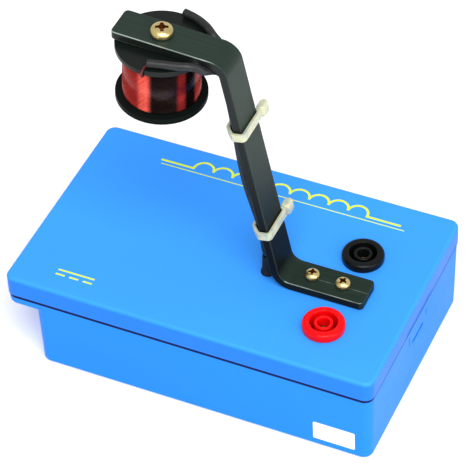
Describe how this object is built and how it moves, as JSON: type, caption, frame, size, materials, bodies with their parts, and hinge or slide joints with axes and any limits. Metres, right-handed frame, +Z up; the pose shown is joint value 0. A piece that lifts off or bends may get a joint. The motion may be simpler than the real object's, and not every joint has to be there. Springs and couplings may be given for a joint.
{
  "type": "demonstration electromagnet",
  "caption": "Small coil hung from a bent steel strip that stands on a snap-closed plastic box with safety sockets in its lid.",
  "frame": {"origin": "middle of the box's footprint, on the surface it stands on", "axes": "+X along the box towards the sockets, +Y across it to the back, +Z up"},
  "size_m": [0.138, 0.0856, 0.1377],
  "materials": {
    "base_plastic": "moulded blue plastic, satin gloss",
    "lid_plastic": "moulded blue plastic, satin gloss",
    "bracket_paint": "satin black paint on steel strip",
    "screw_plating": "brass-coloured plated steel",
    "fixing_zinc": "bright zinc plate",
    "black_socket_plastic": "black moulded plastic",
    "red_socket_plastic": "red moulded plastic",
    "contact_brass": "turned brass",
    "nut_plastic": "black moulded plastic",
    "bobbin_plastic": "black moulded plastic, satin",
    "winding_enamel": "clear red enamelled copper wire",
    "core_iron": "turned soft iron",
    "sleeve_black": "black insulating sleeve",
    "tie_nylon": "natural nylon",
    "bush_rubber": "black rubber"
  },
  "bodies": {
    "root": {"base": "base_plastic", "lid": "lid_plastic", "bracket": "bracket_paint", "foot_screw_left": "screw_plating", "foot_screw_right": "screw_plating", "coil_screw": "screw_plating", "foot_washer_left": "fixing_zinc", "foot_washer_right": "fixing_zinc", "foot_nut_left": "fixing_zinc", "foot_nut_right": "fixing_zinc", "black_socket": "black_socket_plastic", "red_socket": "red_socket_plastic", "black_contact": "contact_brass", "red_contact": "contact_brass", "black_socket_nut": "nut_plastic", "red_socket_nut": "nut_plastic", "bobbin": "bobbin_plastic", "winding": "winding_enamel", "core": "core_iron", "front_lead": "sleeve_black", "back_lead": "sleeve_black", "front_wire_tail": "winding_enamel", "back_wire_tail": "winding_enamel", "upper_cable_tie": "tie_nylon", "lower_cable_tie": "tie_nylon", "lead_bush": "bush_rubber"}
  },
  "joints": []
}
